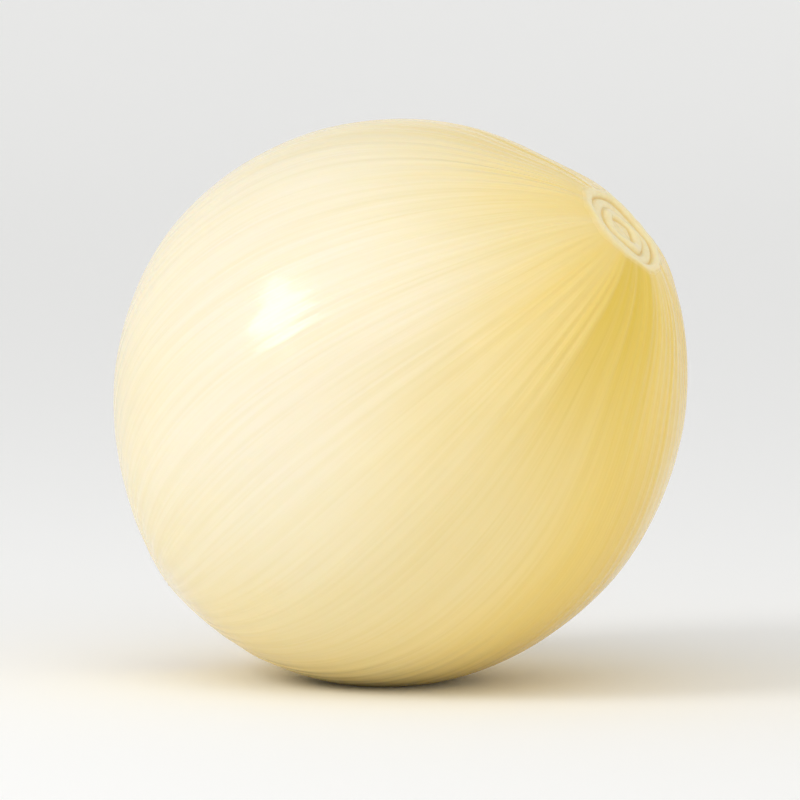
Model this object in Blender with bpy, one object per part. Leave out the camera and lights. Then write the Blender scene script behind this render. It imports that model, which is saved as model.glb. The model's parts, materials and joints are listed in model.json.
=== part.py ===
"""A peeled globe onion with its neck and roots trimmed off, lying on its flank.

Metres, +Z up. The onion rests on the plane z = 0, and the origin is at the bottom centre of its box.
The bulb is worked out in a frame of its own, with the axis along +Z from the root to the neck, and
is then laid down. Angles from the neck are measured at the bulb's centre: 0 at the neck, 180 at the root.
"""

import math
import random

import bmesh
import bpy
from mathutils import Matrix, Vector

TURN = 2 * math.pi

# The body: nearly a ball, a little long, and drawn out to both ends
MEAN_RADIUS = 0.0377
LONG_SHARE = 0.024
NECK_HEIGHT = 0.0410
ROOT_DEPTH = 0.0406
NECK_SPREAD = math.radians(24)
ROOT_SPREAD = math.radians(16)

# Unevenness of growth, as shares of the mean radius: oval, three-sided, and skewed end to end
OVAL_SHARE = 0.006
OVAL_SIDE = math.radians(91)
LOBE_SHARE = 0.020
LOBE_SIDE = math.radians(75)
SKEW_SHARE = 0.015
SKEW_SIDE = math.radians(72)

# The trimmed ends
NECK_CUT_RADIUS = 0.0070
ROOT_CUT_RADIUS = 0.0066
NECK_CUT_SLANT = math.radians(6)
NECK_CUT_LOW_SIDE = math.radians(150)
SLANT_REACH = math.radians(30)

# Veins: low ribs from the root to the neck, uneven in width and height, which sway in waves
# round the axis and along it
RIB_COUNT = 72
RIB_UNEVENNESS = 0.35
RIB_SEED = 11
RIB_HEIGHT_MIDDLE = 0.00006
RIB_HEIGHT_SHOULDER = 0.00014
RIB_SHOULDER = math.radians(27)
RIB_SHOULDER_REACH = math.radians(16)
RIB_RUN_OUT = math.radians(5)
RIB_SWAY = 0.03
RIB_SWAY_WAVES = (3, 2)

# Folds that gather the flank in at the neck: how many go round, their share and their start
NECK_FOLDS = ((2, 0.30, 0.4), (5, 0.40, 0.6), (9, 0.30, 2.1), (13, 0.16, 4.0))
FOLD_DEPTH = 0.00060
FOLD_REACH = math.radians(20)

# Scales cut through at the neck: outer and inner edge as shares of the cut, and depth below it
NECK_SCALES = ((0.975, 0.80, 0.0), (0.72, 0.55, 0.0004), (0.47, 0.30, 0.0001))
NECK_HEART = (0.22, 0.0003)
SCALE_GAP = 0.03
SCALE_GAP_DEPTH = 0.0011

# The root plate inside the lowest scale: rings as shares of the cut, and depth below it
ROOT_RINGS = ((0.97, 0.0), (0.88, 0.0007), (0.79, -0.0005), (0.63, -0.0008), (0.46, -0.0006), (0.24, 0.0004))
ROOT_TIP_DEPTH = 0.0008
ROOT_STUB_RING = 3
ROOT_STUB_LENGTH = 0.0005

# Rings inside a cut: the first few halve the points, and all grow oval, drift and wave in height
HALVED_RINGS = 2
RING_OVAL = 0.14
RING_DRIFT = (0.10, 0.06)
RING_WAVE = 0.0006
RING_WAVES = 3
RING_WAVE_TWIST = 5.0

# The pose: how the bulb lies, and the small flat spot that it rests on
NECK_LIFT = math.radians(35.9)
NECK_TURN = math.radians(-28.2)
FLAT_SPOT_DEPTH = 0.0010

# Rows of points down the flank, closer together at the ends
FLANK_ROWS = 23
ROW_CROWDING = 0.45

SHARP_EDGE = math.radians(40)
FLESH_COLOUR = (0.92, 0.80, 0.48, 1.0)
FLESH_ROUGHNESS = 0.32


def clear_scene():
    for obj in list(bpy.data.objects):
        bpy.data.objects.remove(obj)


def rib_lines():
    """Each vein's valley and crest in turn: its angle round the axis and its level."""
    draw = random.Random(RIB_SEED)
    widths = [1 + RIB_UNEVENNESS * draw.uniform(-1, 1) for _ in range(RIB_COUNT)]
    unit = TURN / sum(widths)
    lines = []
    start = 0.0
    for width in widths:
        crest = 0.5 + RIB_UNEVENNESS * draw.uniform(-1, 1)
        lines += [(start, -0.5), (start + 0.5 * width * unit, crest)]
        start += width * unit
    return lines


def end_rise(height, cut_radius, spread):
    """How far an end is drawn out, as a share of the mean radius, for its cut to come at that height."""
    rim_angle = math.atan2(cut_radius, height)
    rim_share = math.hypot(cut_radius, height) / MEAN_RADIUS - 1
    long_share = LONG_SHARE * math.cos(rim_angle) ** 2
    return (rim_share - long_share) / math.exp(-((rim_angle / spread) ** 2))


NECK_RIM = math.atan2(NECK_CUT_RADIUS, NECK_HEIGHT)
ROOT_RIM = math.atan2(ROOT_CUT_RADIUS, ROOT_DEPTH)
NECK_RISE = end_rise(NECK_HEIGHT, NECK_CUT_RADIUS, NECK_SPREAD)
ROOT_RISE = end_rise(ROOT_DEPTH, ROOT_CUT_RADIUS, ROOT_SPREAD)


def body_radius(from_neck, around):
    """Distance from the bulb's centre to its smooth surface."""
    neck = NECK_RISE * math.exp(-((from_neck / NECK_SPREAD) ** 2))
    root = ROOT_RISE * math.exp(-(((math.pi - from_neck) / ROOT_SPREAD) ** 2))
    oval = OVAL_SHARE * math.cos(2 * (around - OVAL_SIDE))
    lobes = LOBE_SHARE * math.cos(3 * (around - LOBE_SIDE))
    skew = SKEW_SHARE * math.cos(from_neck) * math.cos(2 * (around - SKEW_SIDE))
    long_share = LONG_SHARE * math.cos(from_neck) ** 2
    uneven = (oval + lobes + skew) * math.sin(from_neck) ** 2
    return MEAN_RADIUS * (1 + long_share + neck + root + uneven)


def rib_height(from_neck):
    """Height of a vein's crest over its valleys. It is most on the shoulders and nothing at a cut."""
    from_end = min(from_neck, math.pi - from_neck)
    shoulder = math.exp(-(((from_end - RIB_SHOULDER) / RIB_SHOULDER_REACH) ** 2))
    run_out = 1 - math.exp(-((max(0.0, from_end - NECK_RIM) / RIB_RUN_OUT) ** 2))
    return (RIB_HEIGHT_MIDDLE + (RIB_HEIGHT_SHOULDER - RIB_HEIGHT_MIDDLE) * shoulder) * run_out


def fold_depth(from_neck, around):
    """How far the folds at the neck stand out from the axis."""
    wave = sum(share * math.cos(count * around + start) for count, share, start in NECK_FOLDS)
    return FOLD_DEPTH * wave * math.exp(-(((from_neck - NECK_RIM) / FOLD_REACH) ** 2))


def slanted(point):
    """The point moved along the axis, so that the cut through the neck lies at a slant."""
    across = math.hypot(point.x, point.y)
    around = math.atan2(point.y, point.x)
    share = math.exp(-((math.atan2(across, point.z) / SLANT_REACH) ** 4))
    drop = across * math.tan(NECK_CUT_SLANT) * math.cos(around - NECK_CUT_LOW_SIDE) * share
    return point - Vector((0, 0, drop))


def flank_point(from_neck, line, level):
    """A point of the flank on a vein's line, at a level of -0.5 in a valley and about 0.5 on a crest."""
    sway = math.sin(RIB_SWAY_WAVES[0] * line + RIB_SWAY_WAVES[1] * from_neck)
    around = line + RIB_SWAY * sway
    distance = body_radius(from_neck, around) + rib_height(from_neck) * level
    across = distance * math.sin(from_neck) + fold_depth(from_neck, around)
    along = distance * math.cos(from_neck)
    return slanted(Vector((across * math.cos(around), across * math.sin(around), along)))


def flank_rows():
    """Angles from the neck of the rows of points, from the neck's cut to the root's."""
    length = math.pi - ROOT_RIM - NECK_RIM
    rows = []
    for row in range(FLANK_ROWS):
        even = row / (FLANK_ROWS - 1)
        crowded = 0.5 - 0.5 * math.cos(math.pi * even)
        rows.append(NECK_RIM + length * (even + ROW_CROWDING * (crowded - even)))
    return rows


def inside_cut(rim_point, share, height):
    """A point inside a cut, at a share of the way from its middle to a point on its rim."""
    around = math.atan2(rim_point.y, rim_point.x)
    across = math.hypot(rim_point.x, rim_point.y)
    inward = share * (1 - share)
    grown = share + RING_OVAL * inward * math.cos(2 * around)
    wave = RING_WAVE * inward * math.cos(RING_WAVES * around + RING_WAVE_TWIST * share)
    x = rim_point.x * grown + RING_DRIFT[0] * inward * across
    y = rim_point.y * grown + RING_DRIFT[1] * inward * across
    return Vector((x, y, height + wave))


def neck_cut_point(rim_point, share, depth):
    return slanted(inside_cut(rim_point, share, NECK_HEIGHT - depth))


def root_cut_point(rim_point, share, depth):
    return inside_cut(rim_point, share, depth - ROOT_DEPTH)


def bridge(mesh, outer, inner):
    """Joins two rings of as many points with four-sided faces."""
    for i, vertex in enumerate(outer):
        j = (i + 1) % len(outer)
        mesh.faces.new((vertex, outer[j], inner[j], inner[i]))


def gather(mesh, outer, inner):
    """Joins a ring to one inside it that has a point for each odd point of the outer ring."""
    for i, vertex in enumerate(inner):
        odd, even, next_odd = (outer[(2 * i + step) % len(outer)] for step in (1, 2, 3))
        next_inner = inner[(i + 1) % len(inner)]
        mesh.faces.new((odd, even, vertex))
        mesh.faces.new((even, next_inner, vertex))
        mesh.faces.new((even, next_odd, next_inner))


def build_flank(mesh):
    """The flank with its veins and folds. Returns its first and last rings, at the neck and the root."""
    lines = rib_lines()
    rings = [[mesh.verts.new(flank_point(row, *line)) for line in lines] for row in flank_rows()]
    for upper, lower in zip(rings, rings[1:]):
        bridge(mesh, upper, lower)
    return rings[0], rings[-1]


def build_cut(mesh, rim, outline, cut_point, tip_depth):
    """Closes a cut with rings inside its rim, of which the first few halve the number of points."""
    guide = outer = rim
    rings = []
    for number, (share, depth) in enumerate(outline):
        halved = number < HALVED_RINGS
        guide = guide[1::2] if halved else guide
        rings.append([mesh.verts.new(cut_point(vertex.co, share, depth)) for vertex in guide])
        (gather if halved else bridge)(mesh, outer, rings[-1])
        outer = rings[-1]
    tip = mesh.verts.new(cut_point(Vector((0, 0, 0)), 0, tip_depth))
    for i, vertex in enumerate(outer):
        mesh.faces.new((vertex, outer[(i + 1) % len(outer)], tip))
    return rings


def build_neck_cut(mesh, rim):
    """The cut neck: the ends of the scales one inside another round the heart, with gaps between them."""
    outline = []
    for outer, inner, depth in NECK_SCALES:
        outline += [(outer, depth), (inner, depth), (inner - SCALE_GAP, SCALE_GAP_DEPTH)]
    outline.append(NECK_HEART)
    build_cut(mesh, rim, outline, neck_cut_point, NECK_HEART[1])


def build_root_plate(mesh, rim):
    """The trimmed root: a sunk ring round a low plate, with short stubs of roots on it."""
    rings = build_cut(mesh, rim, ROOT_RINGS, root_cut_point, ROOT_TIP_DEPTH)
    for vertex in rings[ROOT_STUB_RING][::2]:
        vertex.co.z -= ROOT_STUB_LENGTH


def lay_down(mesh):
    """Turns the bulb to the pose it lies in and sets it over the origin, ready for its flat spot."""
    lean = Matrix.Rotation(math.pi / 2 - NECK_LIFT, 4, "Y")
    turn = Matrix.Rotation(NECK_TURN, 4, "Z")
    mesh.transform(turn @ lean)
    low = [min(vertex.co[axis] for vertex in mesh.verts) for axis in range(3)]
    high = [max(vertex.co[axis] for vertex in mesh.verts) for axis in range(3)]
    foot = Vector(((low[0] + high[0]) / 2, (low[1] + high[1]) / 2, low[2] + FLAT_SPOT_DEPTH))
    mesh.transform(Matrix.Translation(-foot))


def cut_flat_spot(mesh):
    """Cuts off what lies below z = 0 and closes the cut with one flat face."""
    everything = mesh.verts[:] + mesh.edges[:] + mesh.faces[:]
    cut = bmesh.ops.bisect_plane(
        mesh, geom=everything, dist=1e-7, plane_co=(0, 0, 0), plane_no=(0, 0, -1), clear_outer=True
    )
    edges = [item for item in cut["geom_cut"] if isinstance(item, bmesh.types.BMEdge)]
    bmesh.ops.contextual_create(mesh, geom=edges)


def flesh_material():
    """Cream flesh with a yellow tint, smooth and a little moist."""
    material = bpy.data.materials.new("onion_flesh")
    material.use_nodes = True
    shader = material.node_tree.nodes["Principled BSDF"]
    shader.inputs["Base Color"].default_value = FLESH_COLOUR
    shader.inputs["Roughness"].default_value = FLESH_ROUGHNESS
    shader.inputs["Metallic"].default_value = 0.0
    return material


def build_onion():
    """The whole bulb, one closed solid."""
    mesh = bmesh.new()
    neck_rim, root_rim = build_flank(mesh)
    build_neck_cut(mesh, neck_rim)
    build_root_plate(mesh, root_rim)
    lay_down(mesh)
    cut_flat_spot(mesh)
    bmesh.ops.recalc_face_normals(mesh, faces=mesh.faces[:])
    data = bpy.data.meshes.new("peeled_onion")
    mesh.to_mesh(data)
    mesh.free()
    data.materials.append(flesh_material())
    data.shade_smooth()
    data.set_sharp_from_angle(angle=SHARP_EDGE)
    onion = bpy.data.objects.new("peeled_onion", data)
    bpy.context.scene.collection.objects.link(onion)


def main():
    clear_scene()
    build_onion()


if __name__ == "__main__":
    main()
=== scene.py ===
"""Looks of a whole peeled globe onion that lies on its flank.

The bulb is one fine closed mesh with its veins, folds and cut ends, and the stubs of its roots are a
second piece. Metres, +Z up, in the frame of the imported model. The bulb is worked out in a frame of its
own, with the axis along +Z from the root to the neck, and is then laid down. Angles from the neck are
measured at the bulb's centre: 0 at the neck, 180 degrees at the root.
"""

import json
import logging
import math
import random
from dataclasses import dataclass
from enum import Enum
from typing import Any, Iterator, Mapping, Sequence, Union

import bpy
import numpy as np
from mathutils import Matrix, Vector, noise

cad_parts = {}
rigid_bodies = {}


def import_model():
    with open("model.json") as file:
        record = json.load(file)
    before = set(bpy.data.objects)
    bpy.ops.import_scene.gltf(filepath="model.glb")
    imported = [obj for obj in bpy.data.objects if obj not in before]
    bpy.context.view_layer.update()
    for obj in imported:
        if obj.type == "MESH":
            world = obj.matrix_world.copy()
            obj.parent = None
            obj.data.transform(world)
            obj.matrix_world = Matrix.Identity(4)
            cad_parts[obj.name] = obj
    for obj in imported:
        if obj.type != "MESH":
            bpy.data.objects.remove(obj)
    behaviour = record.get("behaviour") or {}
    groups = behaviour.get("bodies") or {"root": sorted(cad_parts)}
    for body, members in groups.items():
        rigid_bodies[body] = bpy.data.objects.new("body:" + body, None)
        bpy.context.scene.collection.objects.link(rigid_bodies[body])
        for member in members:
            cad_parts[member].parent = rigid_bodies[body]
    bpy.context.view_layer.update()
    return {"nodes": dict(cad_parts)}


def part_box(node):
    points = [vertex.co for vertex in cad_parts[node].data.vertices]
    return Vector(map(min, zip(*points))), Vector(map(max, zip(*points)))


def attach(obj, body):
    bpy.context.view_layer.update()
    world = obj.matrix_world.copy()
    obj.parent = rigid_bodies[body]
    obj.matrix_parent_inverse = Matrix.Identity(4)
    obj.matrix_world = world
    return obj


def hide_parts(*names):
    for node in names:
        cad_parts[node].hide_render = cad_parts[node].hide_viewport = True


log = logging.getLogger("onion")

NODE = "peeled_onion"
BODY = "root"
SLOT = "onion_flesh"
TURN = 2 * math.pi
GOLDEN_SHARE = 0.381966

Colour = tuple[float, float, float, float]


def screen_colour(red: int, green: int, blue: int) -> Colour:
    """Turns a colour as a screen shows it into the linear one that shaders take.

    Args:
        red: Red from 0 to 255.
        green: Green from 0 to 255.
        blue: Blue from 0 to 255.

    Returns:
        The linear colour, with an alpha of 1.
    """
    parts = [value / 255 for value in (red, green, blue)]
    linear = [part / 12.92 if part <= 0.04045 else ((part + 0.055) / 1.055) ** 2.4 for part in parts]
    return (linear[0], linear[1], linear[2], 1.0)


class Region(Enum):
    """The three stretches of the bulb's surface, from the neck to the root."""

    NECK_CUT = "neck_cut"
    FLANK = "flank"
    ROOT_CUT = "root_cut"


class Signal:
    """An output socket of a shader node. Arithmetic on it adds Math nodes."""

    def __init__(self, recipe: "Recipe", socket: bpy.types.NodeSocket) -> None:
        """Keeps the socket and the recipe that new nodes go into."""
        self.recipe = recipe
        self.socket = socket

    def __add__(self, other: "Value") -> "Signal":
        """Adds two values."""
        return self.recipe.math("ADD", self, other)

    def __sub__(self, other: "Value") -> "Signal":
        """Takes a value from this one."""
        return self.recipe.math("SUBTRACT", self, other)

    def __mul__(self, other: "Value") -> "Signal":
        """Multiplies two values."""
        return self.recipe.math("MULTIPLY", self, other)

    def __rmul__(self, other: "Value") -> "Signal":
        """Multiplies two values."""
        return self.recipe.math("MULTIPLY", other, self)

    def __abs__(self) -> "Signal":
        """Drops the sign."""
        return self.recipe.math("ABSOLUTE", self)


Value = Union[Signal, float, Sequence[float]]


class Recipe:
    """A material and its node tree, put together by expressions on signals."""

    def __init__(self, name: str) -> None:
        """Starts a material with a bare Principled shader."""
        self.material = bpy.data.materials.new(name)
        self.material.use_nodes = True
        self.tree = self.material.node_tree
        self.shader = self.tree.nodes["Principled BSDF"]

    def node(
        self,
        kind: str,
        settings: Mapping[str, Any],
        inputs: Mapping[Union[int, str], Value],
        output: Union[int, str] = 0,
    ) -> Signal:
        """Adds a node.

        Args:
            kind: The node's type.
            settings: Its own settings, set before its sockets. "stops" are a ramp's places and colours.
            inputs: The values or signals of its sockets, by name or number.
            output: The socket that is wanted from it.

        Returns:
            The signal of that socket.
        """
        made = self.tree.nodes.new(kind)
        for name, value in settings.items():
            if name == "stops":
                self._set_stops(made.color_ramp, value)
            else:
                setattr(made, name, value)
        for place, value in inputs.items():
            self._feed(made.inputs[place], value)
        return Signal(self, made.outputs[output])

    def _feed(self, socket: bpy.types.NodeSocket, value: Value) -> None:
        """Links a signal to a socket, or sets the socket's own value."""
        if isinstance(value, Signal):
            self.tree.links.new(value.socket, socket)
        else:
            socket.default_value = value

    @staticmethod
    def _set_stops(ramp: bpy.types.ColorRamp, stops: Sequence[tuple[float, Colour]]) -> None:
        """Gives a ramp its stops, of which there are at least two."""
        for _ in stops[2:]:
            ramp.elements.new(0.5)
        for element, (place, colour) in zip(ramp.elements, stops):
            element.position = place
            element.color = colour

    def math(self, operation: str, *values: Value) -> Signal:
        """Adds a Math node on the values."""
        return self.node("ShaderNodeMath", {"operation": operation}, dict(enumerate(values)))

    def attribute(self, name: str) -> Signal:
        """Reads a number that the mesh holds at its points."""
        return self.node("ShaderNodeAttribute", {"attribute_name": name}, {}, "Fac")

    def vector_attribute(self, name: str) -> Signal:
        """Reads a vector that the mesh holds at its points."""
        return self.node("ShaderNodeAttribute", {"attribute_name": name}, {}, "Vector")

    def place(self) -> Signal:
        """The place on the object, in metres."""
        return self.node("ShaderNodeTexCoord", {}, {}, "Object")

    def along(self, vector: Signal, axis: str) -> Signal:
        """One part of a vector, X, Y or Z."""
        return self.node("ShaderNodeSeparateXYZ", {}, {0: vector}, axis)

    def stretch(self, vector: Signal, sizes: Sequence[float], shift: Sequence[float]) -> Signal:
        """Stretches a vector and then shifts it."""
        settings = {"operation": "MULTIPLY_ADD"}
        return self.node("ShaderNodeVectorMath", settings, {0: vector, 1: sizes, 2: shift})

    def toward(self, vector: Signal, direction: Sequence[float]) -> Signal:
        """The dot product of a vector and a direction."""
        settings = {"operation": "DOT_PRODUCT"}
        return self.node("ShaderNodeVectorMath", settings, {0: vector, 1: direction}, "Value")

    def step(self, value: Value, start: float, end: float, low: float = 0.0, high: float = 1.0) -> Signal:
        """Goes smoothly from low to high as the value goes from start to end."""
        inputs = {"Value": value, "From Min": start, "From Max": end, "To Min": low, "To Max": high}
        return self.node("ShaderNodeMapRange", {"interpolation_type": "SMOOTHSTEP"}, inputs)

    def cloud(self, vector: Signal, scale: float, detail: float = 2.0, roughness: float = 0.5) -> Signal:
        """Noise from 0 to 1."""
        inputs = {"Vector": vector, "Scale": scale, "Detail": detail, "Roughness": roughness}
        return self.node("ShaderNodeTexNoise", {"noise_dimensions": "3D"}, inputs)

    def blend(self, share: Value, first: Value, second: Value, mode: str = "MIX") -> Signal:
        """Mixes two colours.

        Args:
            share: How much of the second colour, from 0 to 1.
            first: The first colour.
            second: The second colour.
            mode: The way that the Mix node puts the second over the first.

        Returns:
            The mixed colour.
        """
        settings = {"data_type": "RGBA", "blend_type": mode, "clamp_factor": True}
        return self.node("ShaderNodeMix", settings, {0: share, 6: first, 7: second}, 2)

    def bump(self, height: Signal, distance: float, below: Union[Signal, None] = None) -> Signal:
        """A normal that is bent by a height, over another bent normal if one is given."""
        inputs: dict[Union[int, str], Value] = {"Height": height, "Distance": distance, "Strength": 1.0}
        if below is not None:
            inputs["Normal"] = below
        return self.node("ShaderNodeBump", {}, inputs)

    def finish(self, sockets: Mapping[str, Value]) -> bpy.types.Material:
        """Sets the shader's sockets and gives the material."""
        for name, value in sockets.items():
            self._feed(self.shader.inputs[name], value)
        return self.material


@dataclass(frozen=True)
class FleshPattern:
    """The patterns that the layers of the flesh's finish share.

    Attributes:
        grain: The direction round the bulb and the share of the way from neck to root.
        from_neck: That share by itself.
        open_flank: 1 on the flank and 0 close to a cut.
        streaks: Broad streaks along the bulb, from 0 to 1.
        fine: Fine veins, 1 on a line and 0 beside it.
        threads: The finest threads along the bulb, from 0 to 1.
        grit: The grain of a cut surface, from 0 to 1.
        sunk: How far a point lies down in a gap or between two veins, from 0 to 1.
    """

    grain: Signal
    from_neck: Signal
    open_flank: Signal
    streaks: Signal
    fine: Signal
    threads: Signal
    grit: Signal
    sunk: Signal


@dataclass(frozen=True)
class FleshFinish:
    """Moist onion flesh: cream, with veins from root to neck. Painted light and shade make it paler on the
    side that faces the key light and deeper gold on the side away from it, over patches of tone that differ
    at random.
    """

    # The ramp goes from the deep gold of painted shade, away from the key light, to the pale cream of
    # painted light on the side that faces it.
    shade_and_tone_stops: tuple[tuple[float, Colour], ...] = (
        (0.0, screen_colour(245, 209, 92)),
        (0.29, screen_colour(247, 217, 124)),
        (0.64, screen_colour(246, 229, 179)),
        (0.84, screen_colour(244, 233, 203)),
        (1.0, screen_colour(242, 233, 214)),
    )
    gold: Colour = screen_colour(246, 214, 112)
    green_yellow: Colour = screen_colour(228, 195, 60)
    vein_tint: Colour = (0.86, 0.83, 0.52, 1.0)
    thread_tint: Colour = (0.95, 0.93, 0.80, 1.0)
    neck_cut: Colour = screen_colour(252, 235, 186)
    cut_edge: Colour = screen_colour(246, 221, 154)
    cut_gap: Colour = screen_colour(232, 204, 126)
    root_cut: Colour = screen_colour(226, 203, 152)
    root_shade: Colour = screen_colour(176, 136, 80)
    # The direction in which painted light makes the flesh palest, toward the key light at the upper left
    # front.
    lit_side: tuple[float, float, float] = (-0.58, -0.77, 0.26)
    half_size: float = 0.038
    green_side: float = math.radians(-33)
    scatter_radius: tuple[float, float, float] = (1.0, 0.72, 0.34)
    scatter_scale: float = 0.0030
    sheen_tint: Colour = (1.0, 0.93, 0.76, 1.0)
    roughness: tuple[float, float] = (0.19, 0.262)
    cut_roughness: float = 0.26
    vein_share: float = 0.17
    fine_share: float = 0.20
    thread_share: float = 0.40
    valley_share: float = 0.05
    scatter: float = 0.25
    coat: float = 0.40
    coat_roughness: float = 0.09
    coat_ior: float = 1.40
    flesh_ior: float = 1.36
    thread_relief: float = 0.000018
    grit_relief: float = 0.00005

    def lines(self, recipe: Recipe, grain: Signal, radius: float, drift: float, width: float) -> Signal:
        """Thin lines that run from the root to the neck.

        Args:
            recipe: The recipe to add them to.
            grain: The direction round the bulb and the share of the way from neck to root.
            radius: Size of the turn round the bulb in the noise, which sets how many lines there are.
            drift: How much the lines stray on their way.
            width: How wide a line is, as a share of the noise's height.

        Returns:
            1 on a line and 0 beside it.
        """
        stretched = recipe.stretch(grain, (radius, radius, drift), (0.0, 0.0, radius))
        height = recipe.cloud(stretched, 1.0, detail=1.0)
        return recipe.step(abs(height - 0.5), 0.0, width, low=1.0, high=0.0)

    def pattern(self, recipe: Recipe) -> FleshPattern:
        """Makes the patterns, which follow the attributes that the bulb's mesh holds."""
        grain = recipe.vector_attribute("grain")
        from_neck = recipe.along(grain, "Z")
        return FleshPattern(
            grain=grain,
            from_neck=from_neck,
            open_flank=recipe.step(from_neck, 0.03, 0.16) * recipe.step(from_neck, 0.95, 0.78),
            streaks=recipe.cloud(recipe.stretch(grain, (5.0, 5.0, 1.2), (0.0, 4.0, 0.0)), 1.0, detail=3.0),
            fine=self.lines(recipe, grain, 26.0, 2.5, 0.12),
            threads=recipe.cloud(recipe.stretch(grain, (62.0, 62.0, 5.0), (0.0, 0.0, 0.0)), 1.0, detail=1.0),
            grit=recipe.cloud(recipe.place(), 1400.0, detail=4.0),
            sunk=recipe.attribute("sunk"),
        )

    def ground(self, recipe: Recipe, pattern: FleshPattern) -> Signal:
        """The colour between the veins.

        Args:
            recipe: The recipe to add it to.
            pattern: The shared patterns.

        Returns:
            Painted light and shade, cream on the side that faces the key light and deep gold on the side
            away from it, over patches of tone that differ at random, and green-yellow in a streak at the
            neck.
        """
        broad = recipe.stretch(pattern.grain, (1.5, 1.5, 2.2), (3.0, 1.0, 0.0))
        patches = recipe.cloud(broad, 1.0, detail=3.0)
        middle = recipe.stretch(recipe.place(), (1.0, 1.0, 1.0), (0.0, 0.0, -self.half_size))
        # Painted light and shade: paler where the flesh faces the key light, deeper gold where it turns
        # away.
        facing_lit_side = recipe.toward(middle, self.lit_side) * (1 / self.half_size)
        # Far round the back, the painted shade is eased toward cream again.
        back = recipe.step(facing_lit_side, -0.35, -1.0) * 0.9
        tone_with_shade = (facing_lit_side + back + (patches - 0.5) * 0.6 + 0.4) * (1 / 1.4)
        colour = recipe.node("ShaderNodeValToRGB", {"stops": self.shade_and_tone_stops}, {0: tone_with_shade})

        side = (math.cos(self.green_side), math.sin(self.green_side), 0.0)
        facing = recipe.toward(pattern.grain, side)
        shoulder = recipe.step(pattern.from_neck, 0.60, 0.10)
        close = recipe.step(pattern.from_neck, 0.34, 0.07)
        yellow_streaks = recipe.step(pattern.streaks, 0.2, 0.75, low=0.45)
        yellowing = recipe.step(facing, 0.2, 0.98) * shoulder * yellow_streaks
        colour = recipe.blend(yellowing * 0.6 + close * 0.25, colour, self.gold)
        green_streaks = recipe.step(pattern.streaks, 0.25, 0.62, low=0.35)
        greening = recipe.step(facing, 0.90, 1.0) * close * green_streaks
        return recipe.blend(greening * 0.85, colour, self.green_yellow)

    def veined(self, recipe: Recipe, pattern: FleshPattern, colour: Signal) -> Signal:
        """Lays the veins over the flesh.

        Args:
            recipe: The recipe to add them to.
            pattern: The shared patterns.
            colour: The colour between the veins.

        Returns:
            The colour with its veins, which show most near the neck.
        """
        shown = recipe.step(pattern.from_neck, 0.70, 0.12, low=0.16, high=0.70)
        fading = shown * recipe.step(pattern.streaks, 0.25, 0.75, low=0.25)
        veins = self.lines(recipe, pattern.grain, 9.0, 1.6, 0.060)
        thread = recipe.step(pattern.threads, 0.35, 0.70)
        valley = recipe.step(pattern.sunk, 0.30, 0.95)
        layers = (
            (veins * fading * self.vein_share, self.vein_tint),
            (pattern.fine * fading * pattern.open_flank * self.fine_share, self.vein_tint),
            (thread * pattern.open_flank * self.thread_share, self.thread_tint),
            (valley * shown * self.valley_share, self.vein_tint),
        )
        for share, tint in layers:
            colour = recipe.blend(share, colour, tint, "MULTIPLY")
        return colour

    def with_cuts(self, recipe: Recipe, pattern: FleshPattern, colour: Signal) -> Signal:
        """Lays the pale cut through the neck and the tan root plate over the flesh.

        Args:
            recipe: The recipe to add them to.
            pattern: The shared patterns.
            colour: The colour of the flank.

        Returns:
            The colour of the whole bulb.
        """
        cut = recipe.blend(recipe.step(pattern.grit, 0.35, 0.7) * 0.35, self.neck_cut, self.cut_edge)
        cut = recipe.blend(recipe.step(recipe.attribute("share"), 0.93, 1.0) * 0.5, cut, self.cut_edge)
        cut = recipe.blend(recipe.step(pattern.sunk, 0.2, 0.9) * 0.65, cut, self.cut_gap)
        colour = recipe.blend(recipe.attribute(Region.NECK_CUT.value), colour, cut)
        plate = recipe.blend(recipe.step(pattern.grit, 0.40, 0.66), self.root_cut, self.root_shade)
        plate = recipe.blend(recipe.step(pattern.sunk, 0.3, 0.9) * 0.7, plate, self.root_shade)
        return recipe.blend(recipe.attribute(Region.ROOT_CUT.value), colour, plate)

    def material(self) -> bpy.types.Material:
        """Makes the material. It reads the attributes that the bulb's mesh holds."""
        recipe = Recipe(SLOT)
        pattern = self.pattern(recipe)
        colour = self.veined(recipe, pattern, self.ground(recipe, pattern))
        cut_share = recipe.attribute(Region.NECK_CUT.value) + recipe.attribute(Region.ROOT_CUT.value)
        mottle = recipe.cloud(recipe.place(), 260.0, detail=3.0)
        low, high = self.roughness
        roughness = recipe.step(mottle, 0.3, 0.7, low=low, high=high) + cut_share * self.cut_roughness
        relief = recipe.bump((pattern.threads + 0.5 * pattern.fine) * pattern.open_flank, self.thread_relief)
        relief = recipe.bump(pattern.grit * cut_share, self.grit_relief, relief)
        return recipe.finish(
            {
                "Base Color": self.with_cuts(recipe, pattern, colour),
                "Roughness": roughness,
                "Normal": relief,
                "Subsurface Weight": self.scatter,
                "Subsurface Radius": self.scatter_radius,
                "Subsurface Scale": self.scatter_scale,
                "Specular Tint": self.sheen_tint,
                "Coat Weight": self.coat,
                "Coat Roughness": self.coat_roughness,
                "Coat IOR": self.coat_ior,
                "IOR": self.flesh_ior,
            }
        )


@dataclass(frozen=True)
class RootFinish:
    """Dry ends of cut roots: pale tan with darker tips."""

    tan: Colour = screen_colour(214, 184, 132)
    brown: Colour = screen_colour(150, 108, 62)

    def material(self) -> bpy.types.Material:
        """Makes the material."""
        recipe = Recipe("root_ends")
        fibre = recipe.cloud(recipe.place(), 2400.0, detail=3.0)
        colour = recipe.blend(recipe.step(fibre, 0.38, 0.68), self.tan, self.brown)
        relief = recipe.bump(fibre, 0.00005)
        return recipe.finish({"Base Color": colour, "Roughness": 0.62, "Normal": relief})


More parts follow.
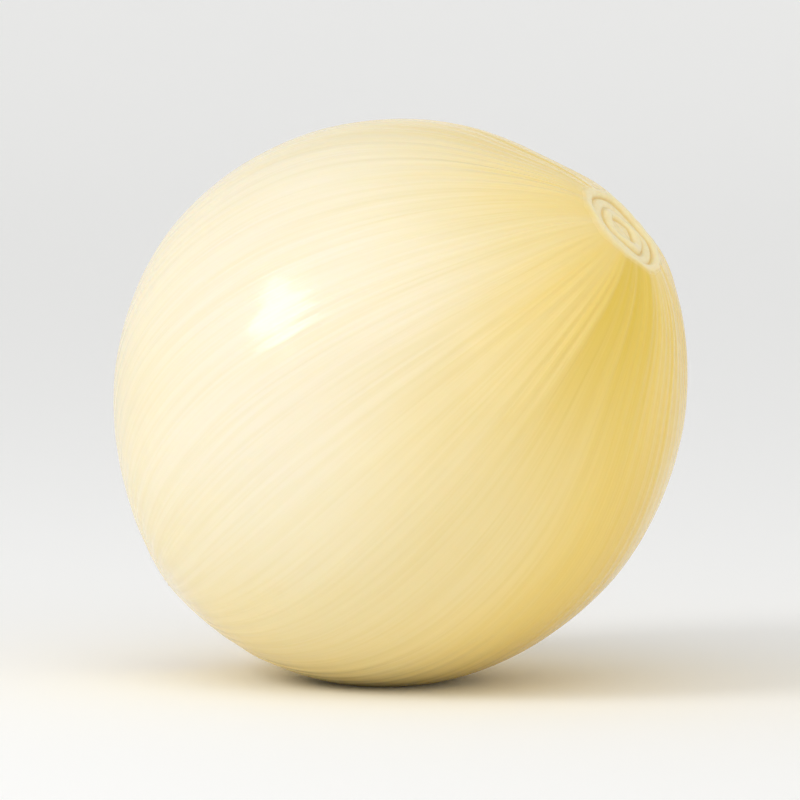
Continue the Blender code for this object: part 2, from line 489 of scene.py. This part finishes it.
@dataclass(frozen=True)
class PaperFinish:
    """The matt white sweep that the onion lies on."""

    white: Colour = screen_colour(250, 250, 249)

    def material(self) -> bpy.types.Material:
        """Makes the material."""
        recipe = Recipe("white_sweep")
        return recipe.finish({"Base Color": self.white, "Roughness": 0.9, "Specular IOR Level": 0.2})


@dataclass
class Ring:
    """One ring of the bulb's points.

    Attributes:
        region: The stretch of surface it is on.
        from_neck: On the flank, its angle from the neck.
        share: On a cut, its share of the way out from the middle. 1 on the flank.
        depth: On a cut, how deep it lies below the cut.
        sunk: 0 to 1, how far it is down in a gap, for the colour.
    """

    region: Region
    from_neck: float = 0.0
    share: float = 1.0
    depth: float = 0.0
    sunk: float = 0.0


@dataclass
class Bulb:
    """The whole onion but for its root stubs.

    Its sizes are those of the part's source, but for finer folds at the neck, shallower gaps in its cut and
    a soft swell of the whole surface.
    """

    mean_radius: float = 0.0377
    long_share: float = 0.024
    neck_height: float = 0.0410
    root_depth: float = 0.0406
    neck_spread: float = math.radians(24)
    root_spread: float = math.radians(16)
    oval: tuple[float, float] = (0.006, math.radians(91))
    lobes: tuple[float, float] = (0.020, math.radians(75))
    skew: tuple[float, float] = (0.015, math.radians(72))
    neck_cut_radius: float = 0.0070
    root_cut_radius: float = 0.0066
    cut_slant: float = math.radians(6)
    cut_low_side: float = math.radians(150)
    slant_reach: float = math.radians(30)
    rib_count: int = 72
    rib_unevenness: float = 0.35
    rib_seed: int = 11
    rib_height_middle: float = 0.00006
    rib_height_shoulder: float = 0.00014
    rib_shoulder: float = math.radians(27)
    rib_shoulder_reach: float = math.radians(16)
    rib_run_out: float = math.radians(5)
    rib_sway: float = 0.03
    rib_sway_waves: tuple[float, float] = (3, 2)
    rib_sharpness: float = 1.4
    rib_fade: float = 0.55
    rib_fade_waves: tuple[float, float] = (0.8, 2.2)
    neck_folds: tuple[tuple[int, float, float], ...] = (
        (2, 0.30, 0.4),
        (5, 0.40, 0.6),
        (9, 0.18, 2.1),
        (13, 0.16, 4.0),
        (22, 0.12, 1.1),
        (31, 0.07, 3.3),
    )
    fold_depth: float = 0.00060
    fold_calm: float = 2.5
    fold_reach: float = math.radians(20)
    scale_gaps: tuple[float, ...] = (0.26, 0.51, 0.76)
    scale_depths: tuple[float, ...] = (0.0003, 0.0001, 0.0004, 0.0)
    gap_width: float = 0.030
    gap_depth: float = 0.00045
    gap_steps: tuple[float, ...] = (-2.4, -1.6, -1.0, -0.5, 0.0, 0.5, 1.0, 1.6, 2.4)
    heart_and_rim_shares: tuple[float, ...] = (0.0, 0.07, 0.14, 0.87, 0.91, 0.945, 0.975, 0.993)
    scale_crown: float = 0.00022
    rim_softness: tuple[float, float] = (0.10, math.radians(1.1))
    root_rings: tuple[tuple[float, float], ...] = (
        (0.0, 0.0008),
        (0.24, 0.0004),
        (0.46, -0.0006),
        (0.63, -0.0008),
        (0.79, -0.0005),
        (0.88, 0.0007),
        (0.97, 0.0),
        (1.0, 0.0),
    )
    ring_oval: float = 0.14
    ring_drift: tuple[float, float] = (0.10, 0.06)
    ring_wave: float = 0.0006
    ring_waves: int = 3
    ring_wave_twist: float = 5.0
    root_edge: float = 0.985
    root_shade_depth: float = 0.0007
    neck_ragged: float = 0.00003
    root_ragged: float = 0.000352
    ragged_grain: tuple[float, float] = (900.0, 2200.0)
    neck_lift: float = math.radians(35.9)
    neck_turn: float = math.radians(-28.2)
    flat_spot_depth: float = 0.0010
    steps_per_rib: int = 6
    flank_rows: int = 142
    row_crowding: float = 0.45
    root_rows: int = 24
    swell: float = 0.00022
    swell_size: float = 0.016
    seam: float = 1e-7
    floor_slack: float = 1e-6
    sharp_edge: float = math.radians(50)

    def __post_init__(self) -> None:
        """Works out where the cuts' rims are and how far the ends are drawn out to reach them."""
        self.neck_rim = math.atan2(self.neck_cut_radius, self.neck_height)
        self.root_rim = math.atan2(self.root_cut_radius, self.root_depth)
        self.neck_rise = self._end_rise(self.neck_height, self.neck_cut_radius, self.neck_spread)
        self.root_rise = self._end_rise(self.root_depth, self.root_cut_radius, self.root_spread)
        self.lay = Matrix.Identity(4)

    def _end_rise(self, height: float, cut_radius: float, spread: float) -> float:
        """How far an end is drawn out, as a share of the mean radius, for its cut to come at that height."""
        rim = math.atan2(cut_radius, height)
        share = math.hypot(cut_radius, height) / self.mean_radius - 1 - self.long_share * math.cos(rim) ** 2
        return share / math.exp(-((rim / spread) ** 2))

    def _neck_profile(self) -> Iterator[Ring]:
        """The neck's cut from its middle to just inside its rim."""
        near = [step * self.gap_width for step in self.gap_steps]
        shares = set(self.heart_and_rim_shares)
        for gap in self.scale_gaps:
            shares |= {gap + step for step in near}
        edges = (0.0, *self.scale_gaps, 1.0)
        for share in sorted(shares):
            scale = sum(share > gap for gap in self.scale_gaps)
            across = (share - edges[scale]) / (edges[scale + 1] - edges[scale])
            crown = self.scale_crown * math.sin(math.pi * across) if scale else 0.0
            nearest = min(abs(share - gap) for gap in self.scale_gaps)
            sunk = math.exp(-((nearest / self.gap_width) ** 2))
            depth = self.scale_depths[scale] - crown
            yield Ring(Region.NECK_CUT, 0.0, share, depth + (self.gap_depth - depth) * sunk, sunk)

    def _flank_profile(self) -> Iterator[Ring]:
        """The flank from the neck's rim to the root's, with its rows closer together at the ends."""
        length = math.pi - self.root_rim - self.neck_rim
        for row in range(self.flank_rows):
            even = row / (self.flank_rows - 1)
            crowded = 0.5 - 0.5 * math.cos(math.pi * even)
            yield Ring(Region.FLANK, self.neck_rim + length * (even + self.row_crowding * (crowded - even)))

    def _root_profile(self) -> Iterator[Ring]:
        """The root's cut from just inside its rim to its middle."""
        for row in range(self.root_rows, -1, -1):
            share = self.root_edge * row / self.root_rows
            depth = self.root_level(share)
            sunk = min(1.0, max(0.0, depth / self.root_shade_depth))
            yield Ring(Region.ROOT_CUT, math.pi, share, depth, sunk)

    def _rib_lines(self) -> tuple[np.ndarray, ...]:
        """Angle round the axis and vein level of each column of points.

        Returns:
            The angles, the levels, -0.5 in a valley and about 0.5 on a crest, and the waves and starts by
            which the veins fade on their way.
        """
        draw = random.Random(self.rib_seed)
        widths = [1 + self.rib_unevenness * draw.uniform(-1, 1) for _ in range(self.rib_count)]
        crests = [0.5 + self.rib_unevenness * draw.uniform(-1, 1) for _ in range(self.rib_count)]
        waves = [draw.uniform(*self.rib_fade_waves) for _ in range(self.rib_count)]
        starts = [draw.uniform(0, TURN) for _ in range(self.rib_count)]
        unit = TURN / sum(widths)
        columns = []
        start = 0.0
        for width, crest, wave, phase in zip(widths, crests, waves, starts):
            for step in range(self.steps_per_rib):
                across = step / self.steps_per_rib
                level = -0.5 + (crest + 0.5) * math.sin(math.pi * across) ** self.rib_sharpness
                columns.append((start + across * width * unit, level, wave, phase))
            start += width * unit
        return tuple(np.array(column) for column in zip(*columns))

    def _body_radius(self, from_neck: np.ndarray, around: np.ndarray) -> np.ndarray:
        """Distance from the bulb's centre to its smooth surface."""
        neck = self.neck_rise * np.exp(-((from_neck / self.neck_spread) ** 2))
        root = self.root_rise * np.exp(-(((math.pi - from_neck) / self.root_spread) ** 2))
        uneven = self.oval[0] * np.cos(2 * (around - self.oval[1]))
        uneven = uneven + self.lobes[0] * np.cos(3 * (around - self.lobes[1]))
        uneven = uneven + self.skew[0] * np.cos(from_neck) * np.cos(2 * (around - self.skew[1]))
        long_share = self.long_share * np.cos(from_neck) ** 2
        return self.mean_radius * (1 + long_share + neck + root + uneven * np.sin(from_neck) ** 2)

    def _rib_height(self, from_neck: np.ndarray) -> np.ndarray:
        """Height of a vein's crest over its valleys. It is most on the shoulders."""
        from_end = np.minimum(from_neck, math.pi - from_neck)
        shoulder = np.exp(-(((from_end - self.rib_shoulder) / self.rib_shoulder_reach) ** 2))
        return self.rib_height_middle + (self.rib_height_shoulder - self.rib_height_middle) * shoulder

    def _run_out(self, from_neck: np.ndarray) -> np.ndarray:
        """The share of a vein's height that is left, which is nothing at a cut."""
        from_end = np.minimum(from_neck, math.pi - from_neck)
        return 1 - np.exp(-((np.maximum(0.0, from_end - self.neck_rim) / self.rib_run_out) ** 2))

    def _fold_depth(self, from_neck: np.ndarray, around: np.ndarray, inside: np.ndarray) -> np.ndarray:
        """How far the folds at the neck stand out from the axis. Inside the cut the fine ones calm down."""
        wave = np.zeros_like(from_neck)
        for count, share, start in self.neck_folds:
            wave += share * np.cos(count * around + start) * inside ** (count / self.fold_calm)
        return self.fold_depth * wave * np.exp(-(((from_neck - self.neck_rim) / self.fold_reach) ** 2))

    def _slanted(self, points: np.ndarray) -> np.ndarray:
        """The points moved along the axis, so that the cut through the neck lies at a slant."""
        across = np.hypot(points[:, 0], points[:, 1])
        around = np.arctan2(points[:, 1], points[:, 0])
        share = np.exp(-((np.arctan2(across, points[:, 2]) / self.slant_reach) ** 4))
        moved = points.copy()
        moved[:, 2] -= across * math.tan(self.cut_slant) * np.cos(around - self.cut_low_side) * share
        return moved

    def _flank_points(
        self, from_neck: np.ndarray, lines: np.ndarray, levels: np.ndarray, inside: np.ndarray
    ) -> np.ndarray:
        """Points of the flank, or of the rim of a cut as it is seen at a share of the way out to it."""
        sway = np.sin(self.rib_sway_waves[0] * lines + self.rib_sway_waves[1] * from_neck)
        around = lines + self.rib_sway * sway
        distance = self._body_radius(from_neck, around) + self._rib_height(from_neck) * levels
        across = distance * np.sin(from_neck) + self._fold_depth(from_neck, around, inside)
        upright = distance * np.cos(from_neck)
        return np.stack([across * np.cos(around), across * np.sin(around), upright], 1)

    def _cut_points(self, rim: np.ndarray, share: np.ndarray, height: np.ndarray) -> np.ndarray:
        """Points inside a cut, each at a share of the way from its middle to a point on its rim."""
        around = np.arctan2(rim[:, 1], rim[:, 0])
        across = np.hypot(rim[:, 0], rim[:, 1])
        inward = share * (1 - share)
        grown = share + self.ring_oval * inward * np.cos(2 * around)
        wave = self.ring_wave * inward * np.cos(self.ring_waves * around + self.ring_wave_twist * share)
        x = rim[:, 0] * grown + self.ring_drift[0] * inward * across
        y = rim[:, 1] * grown + self.ring_drift[1] * inward * across
        return np.stack([x, y, height + wave], 1)

    def _shape(self, points: np.ndarray, rings: Sequence[Ring]) -> tuple[np.ndarray, dict[str, np.ndarray]]:
        """Wraps the points of a flat sheet, 2 by 2, round to the bulb's form.

        Args:
            points: The sheet's points, whose X goes round the bulb and whose Y goes from root to neck.
            rings: The bulb's rings, one for each row of the sheet's points.

        Returns:
            The bulb's points in its own frame, and the numbers that each point gives its material.
        """
        row = np.rint((1 - points[:, 1]) / 2 * (len(rings) - 1)).astype(int)
        columns = self.rib_count * self.steps_per_rib
        column = np.rint((1 + points[:, 0]) / 2 * columns).astype(int) % columns
        lines, levels, waves, starts = (values[column] for values in self._rib_lines())
        share = np.array([ring.share for ring in rings])[row]
        depth = np.array([ring.depth for ring in rings])[row]
        sunk = np.array([ring.sunk for ring in rings])[row]
        from_neck = np.array([ring.from_neck for ring in rings])[row]
        regions = np.array([ring.region.value for ring in rings])[row]
        on_neck = regions == Region.NECK_CUT.value
        on_root = regions == Region.ROOT_CUT.value
        from_neck = np.where(on_neck, self.neck_rim, np.where(on_root, math.pi - self.root_rim, from_neck))
        fade = 1 - self.rib_fade * (0.5 + 0.5 * np.sin(starts + waves * from_neck * 2))
        levels = levels * fade
        left = self._run_out(from_neck)
        rim = self._flank_points(from_neck, lines, levels * left, share)
        height = np.where(on_neck, self.neck_height - depth, depth - self.root_depth)
        cut = self._cut_points(rim, share, height)
        shaped = self._slanted(np.where((on_neck | on_root)[:, None], cut, rim))
        shaped += self._unevenness(shaped, on_neck, on_root)
        inward, outward = self.rim_softness
        past_rim = np.where(on_neck, (share - 1) / inward, (from_neck - self.neck_rim) / outward)
        neck_share = np.clip(0.5 - 0.5 * past_rim, 0.0, 1.0)
        marks = {
            "grain_x": np.cos(lines),
            "grain_y": np.sin(lines),
            "grain_z": from_neck / math.pi,
            "share": share,
            "sunk": np.where(on_neck | on_root, sunk, (0.5 - levels) * left),
            Region.NECK_CUT.value: neck_share * neck_share * (3 - 2 * neck_share),
            Region.ROOT_CUT.value: on_root.astype(float),
        }
        return shaped, marks

    def _unevenness(self, points: np.ndarray, on_neck: np.ndarray, on_root: np.ndarray) -> np.ndarray:
        """Small moves that make the form less regular: a soft swell all over, and ragged cut ends."""
        moves = np.zeros_like(points)
        ragged = on_neck | on_root
        coarse, fine = self.ragged_grain
        for i, point in enumerate(points):
            place = Vector(point)
            outward = place.normalized()
            moves[i] = outward * (self.swell * noise.noise(place / self.swell_size))
            if ragged[i]:
                rough = noise.noise(place * coarse) + 0.5 * noise.noise(place * fine)
                moves[i, 2] += rough * (self.root_ragged if on_root[i] else self.neck_ragged)
        return moves

    def _laid_down(self, points: np.ndarray) -> np.ndarray:
        """Turns the points to the pose the bulb lies in, and fits them into the box of its node."""
        lean = Matrix.Rotation(math.pi / 2 - self.neck_lift, 3, "Y")
        turn = Matrix.Rotation(self.neck_turn, 3, "Z")
        turned = points @ np.array(turn @ lean).T
        low, high = turned.min(0), turned.max(0)
        box_low, box_high = (np.array(corner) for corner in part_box(NODE))
        room = box_high - box_low
        room[2] += self.flat_spot_depth
        factor = min(1.0, float((room / (high - low)).min()))
        shift = (box_low + box_high) / 2 - factor * (low + high) / 2
        shift[2] = box_high[2] - factor * high[2]
        self.lay = Matrix.Translation(shift) @ (turn @ lean * factor).to_4x4()
        return turned * factor + shift

    def build(self) -> bpy.types.Object:
        """Models the bulb from a sheet that is wrapped round and closed at its seam and both ends.

        Returns:
            The bulb, in its place, with its finish.
        """
        rings = [*self._neck_profile(), *self._flank_profile(), *self._root_profile()]
        bpy.ops.mesh.primitive_grid_add(
            x_subdivisions=self.rib_count * self.steps_per_rib, y_subdivisions=len(rings) - 1, size=2.0
        )
        bulb = bpy.context.object
        bulb.name = bulb.data.name = "onion_bulb"
        mesh = bulb.data
        points = np.empty(len(mesh.vertices) * 3, np.float32)
        mesh.vertices.foreach_get("co", points)
        shaped, marks = self._shape(points.reshape(-1, 3).astype(float), rings)
        mesh.vertices.foreach_set("co", self._laid_down(shaped).astype(np.float32).ravel())
        self._mark(mesh, marks)
        self._close()
        bpy.ops.object.shade_smooth_by_angle(angle=self.sharp_edge)
        mesh.materials.append(FleshFinish().material())
        return bulb

    @staticmethod
    def _mark(mesh: bpy.types.Mesh, marks: Mapping[str, np.ndarray]) -> None:
        """Writes the numbers that the material reads to the mesh's points."""
        grain = np.stack([marks["grain_x"], marks["grain_y"], marks["grain_z"]], 1)
        mesh.attributes.new("grain", "FLOAT_VECTOR", "POINT").data.foreach_set("vector", grain.ravel())
        for name in ("share", "sunk", Region.NECK_CUT.value, Region.ROOT_CUT.value):
            mesh.attributes.new(name, "FLOAT", "POINT").data.foreach_set("value", marks[name])

    def _close(self) -> None:
        """Joins the wrapped sheet's edges and cuts the small flat spot that the bulb rests on."""
        bpy.ops.object.mode_set(mode="EDIT")
        bpy.ops.mesh.select_all(action="SELECT")
        bpy.ops.mesh.remove_doubles(threshold=self.seam)
        bpy.ops.mesh.normals_make_consistent(inside=False)
        bpy.ops.mesh.bisect(
            plane_co=(0, 0, 0),
            plane_no=(0, 0, 1),
            use_fill=True,
            clear_inner=True,
            threshold=self.floor_slack,
        )
        bpy.ops.object.mode_set(mode="OBJECT")

    def root_level(self, share: float) -> float:
        """How deep the root plate lies at a share of its radius, in the bulb's own frame."""
        places, depths = zip(*self.root_rings)
        index = max(i for i, place in enumerate(places[:-1]) if place <= share)
        across = (share - places[index]) / (places[index + 1] - places[index])
        return depths[index] + (depths[index + 1] - depths[index]) * across * across * (3 - 2 * across)


@dataclass
class RootEnds:
    """The stubs of the cut roots that stand in a ring on the root plate.

    Attributes:
        bulb: The bulb they grow on.
        count: How many there are.
        ring: The nearest and farthest share of the plate's radius that they stand at.
        radius: The least and greatest radius.
        length: The least and greatest length that shows.
        buried: How far their feet go into the plate.
        sides: The sides of one stub.
        lean: The most that one leans.
        stray: How far one strays from its even place, as a share of the step to the next.
        waist: The width of the waist under the tip, as a share of the foot's.
        tip: The tip's height above the waist, and its width as a share of the waist's.
        rim: The width of the frayed rim, and the width of the dent's wall inside it.
        dent: The depth of the dent in the tip.
        flatness: The least and greatest width of one across, as a share of its width along.
        facing_up: How far up a face looks that belongs to the tip.
        sharp_edge: The angle past which an edge stays sharp.
        seed: The seed of the draws.
    """

    bulb: Bulb
    count: int = 56
    ring: tuple[float, float] = (0.30, 0.70)
    radius: tuple[float, float] = (0.00022, 0.00042)
    length: tuple[float, float] = (0.0001, 0.0004)
    buried: float = 0.0005
    sides: int = 9
    lean: float = 0.35
    stray: float = 0.45
    waist: float = 0.86
    tip: tuple[float, float] = (0.12, 0.72)
    rim: tuple[float, float] = (0.22, 0.16)
    dent: float = 0.10
    flatness: tuple[float, float] = (0.7, 1.0)
    facing_up: float = 0.9
    sharp_edge: float = math.radians(40)
    seed: int = 5

    def _stub(self) -> bpy.types.Object:
        """Models one stub, 1 thick and 1 long, with a waist, a frayed rim and a dent at its tip."""
        bpy.ops.mesh.primitive_cylinder_add(vertices=self.sides, radius=1.0, depth=1.0, location=(0, 0, 0.5))
        stub = bpy.context.object
        bpy.ops.object.transform_apply(location=True, rotation=True, scale=True)
        bpy.ops.object.mode_set(mode="EDIT")
        bpy.ops.mesh.select_all(action="DESELECT")
        bpy.ops.mesh.select_mode(type="FACE")
        bpy.ops.object.mode_set(mode="OBJECT")
        for face in stub.data.polygons:
            face.select = face.normal.z > self.facing_up
        bpy.ops.object.mode_set(mode="EDIT")
        rise, tip_width = self.tip
        bpy.ops.transform.resize(value=(self.waist, self.waist, 1.0))
        bpy.ops.mesh.extrude_region_move(TRANSFORM_OT_translate={"value": (0, 0, rise)})
        bpy.ops.transform.resize(value=(tip_width, tip_width, 1.0))
        bpy.ops.mesh.inset(thickness=self.rim[0], depth=0.0)
        bpy.ops.mesh.inset(thickness=self.rim[1], depth=-self.dent)
        bpy.ops.object.mode_set(mode="OBJECT")
        return stub

    def build(self) -> bpy.types.Object:
        """Models one stub and copies it round the root plate.

        Returns:
            All the stubs as one piece, with its finish.
        """
        draw = random.Random(self.seed)
        first = self._stub()
        copies = []
        for index in range(self.count):
            around = (index + draw.uniform(-self.stray, self.stray)) * TURN * GOLDEN_SHARE
            share = math.sqrt(draw.uniform(self.ring[0] ** 2, self.ring[1] ** 2))
            radius = draw.uniform(*self.radius)
            length = draw.uniform(*self.length)
            across = share * self.bulb.root_cut_radius
            level = self.bulb.root_level(share) - self.bulb.root_depth + self.buried
            foot = Matrix.Translation((across * math.cos(around), across * math.sin(around), level))
            lean = draw.uniform(0, self.lean)
            spin = Matrix.Rotation(draw.uniform(0, TURN), 4, "Z")
            tilt = Matrix.Rotation(around, 4, "Z") @ Matrix.Rotation(math.pi - lean, 4, "Y")
            other_radius = radius * draw.uniform(*self.flatness)
            size = Matrix.Diagonal((radius, other_radius, length + self.buried, 1.0))
            stub = first.copy()
            stub.data = first.data.copy()
            stub.data.transform(self.bulb.lay @ foot @ tilt @ spin @ size)
            bpy.context.collection.objects.link(stub)
            copies.append(stub)
        bpy.data.objects.remove(first)
        bpy.ops.object.select_all(action="DESELECT")
        for stub in copies:
            stub.select_set(True)
        bpy.context.view_layer.objects.active = copies[0]
        bpy.ops.object.join()
        ends = bpy.context.object
        ends.name = ends.data.name = "root_ends"
        bpy.ops.object.shade_smooth_by_angle(angle=self.sharp_edge)
        ends.data.materials.append(RootFinish().material())
        return ends


class LightKind(Enum):
    """A square soft box near the onion, or soft daylight from one side of the sky."""

    BOX = "AREA"
    DAYLIGHT = "SUN"


@dataclass(frozen=True)
class SoftLight:
    """A soft light that looks at the onion.

    Attributes:
        name: Its name.
        kind: Box or daylight.
        toward: The direction from the onion to the light.
        size: A box's side in metres, or the width of daylight in radians.
        power: A box's power in watts, or the strength of daylight in watts per square metre.
        distance: How far away it hangs.
    """

    name: str
    kind: LightKind
    toward: tuple[float, float, float]
    size: float
    power: float
    distance: float = 0.62

    def hang(self) -> None:
        """Adds the light to the scene."""
        direction = Vector(self.toward).normalized()
        middle = Vector((0, 0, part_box(NODE)[1].z / 2))
        bpy.ops.object.light_add(type=self.kind.value, location=middle + direction * self.distance)
        light = bpy.context.object
        light.name = self.name
        light.rotation_euler = direction.to_track_quat("Z", "Y").to_euler()
        light.data.energy = self.power
        if self.kind is LightKind.BOX:
            light.data.size = self.size
        else:
            light.data.angle = self.size


@dataclass
class Studio:
    """A white sweep all round, soft lights and the camera."""

    floor_sides: int = 128
    floor_radius: float = 1.8
    floor_rim: float = 0.1
    wall_bend: float = 2.4
    wall_steps: int = 16
    soft_lights: tuple[SoftLight, ...] = (
        SoftLight("key", LightKind.BOX, (-0.73, -0.42, 0.54), 0.22, 1.10),
        SoftLight("fill", LightKind.BOX, (0.62, -0.76, 0.34), 0.40, 0.46, 0.70),
        SoftLight("daylight", LightKind.DAYLIGHT, (-0.25, -0.72, 0.70), math.radians(75), 0.76),
    )
    sky: float = 0.62
    lens: float = 280.0
    sensor: float = 36.0
    nearest: float = 0.01
    rise: float = math.radians(4)
    fill_share: float = 0.72

    def sweep(self) -> bpy.types.Object:
        """Models the floor, whose rim bends up all round into a wall."""
        bpy.ops.mesh.primitive_circle_add(
            vertices=self.floor_sides, radius=self.floor_radius, fill_type="NGON"
        )
        floor = bpy.context.object
        floor.name = "white_sweep"
        bpy.ops.object.mode_set(mode="EDIT")
        bpy.ops.mesh.select_all(action="SELECT")
        bpy.ops.mesh.region_to_loop()
        radius = self.floor_radius
        height = 0.0
        for step in range(self.wall_steps + 1):
            angle = step / self.wall_steps * math.pi / 2
            new_radius = self.floor_radius + self.floor_rim + self.wall_bend * math.sin(angle)
            new_height = self.wall_bend * (1 - math.cos(angle))
            bpy.ops.mesh.extrude_edges_move(TRANSFORM_OT_translate={"value": (0, 0, new_height - height)})
            ratio = new_radius / radius
            bpy.ops.transform.resize(value=(ratio, ratio, 1), center_override=(0, 0, new_height))
            radius, height = new_radius, new_height
        bpy.ops.mesh.select_all(action="SELECT")
        bpy.ops.mesh.normals_make_consistent(inside=False)
        bpy.ops.object.mode_set(mode="OBJECT")
        bpy.ops.object.shade_smooth()
        floor.data.materials.append(PaperFinish().material())
        return floor

    def lights(self) -> None:
        """Hangs the soft lights and lights the room."""
        for light in self.soft_lights:
            light.hang()
        world = bpy.data.worlds.new("white_room")
        world.use_nodes = True
        world.node_tree.nodes["Background"].inputs["Color"].default_value = (1.0, 1.0, 1.0, 1.0)
        world.node_tree.nodes["Background"].inputs["Strength"].default_value = self.sky
        bpy.context.scene.world = world
        bpy.context.scene.view_settings.view_transform = "Standard"

    def camera(self) -> None:
        """Sets the camera a little above level, in front of the onion."""
        low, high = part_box(NODE)
        middle = (low + high) / 2
        distance = (high.x - low.x) / self.fill_share * self.lens / self.sensor
        direction = Vector((0, -math.cos(self.rise), math.sin(self.rise)))
        bpy.ops.object.camera_add(location=middle + direction * distance)
        camera = bpy.context.object
        camera.rotation_euler = direction.to_track_quat("Z", "Y").to_euler()
        camera.data.lens = self.lens
        camera.data.sensor_width = self.sensor
        camera.data.clip_start = self.nearest
        bpy.context.scene.camera = camera


def main() -> None:
    """Builds the onion's pieces and the studio, in order."""
    logging.basicConfig(level=logging.INFO, format="%(relativeCreated)d ms %(message)s")
    for leftover in list(bpy.data.objects):
        bpy.data.objects.remove(leftover)
    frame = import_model()
    log.info("loaded %s", ", ".join(frame["nodes"]))
    bpy.ops.object.select_all(action="DESELECT")

    bulb = Bulb()
    for piece in (bulb.build(), RootEnds(bulb).build()):
        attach(piece, BODY)
        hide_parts(NODE)
        log.info("%s: %d faces", piece.name, len(piece.data.polygons))

    studio = Studio()
    studio.sweep()
    studio.lights()
    studio.camera()


if __name__ == "__main__":
    main()
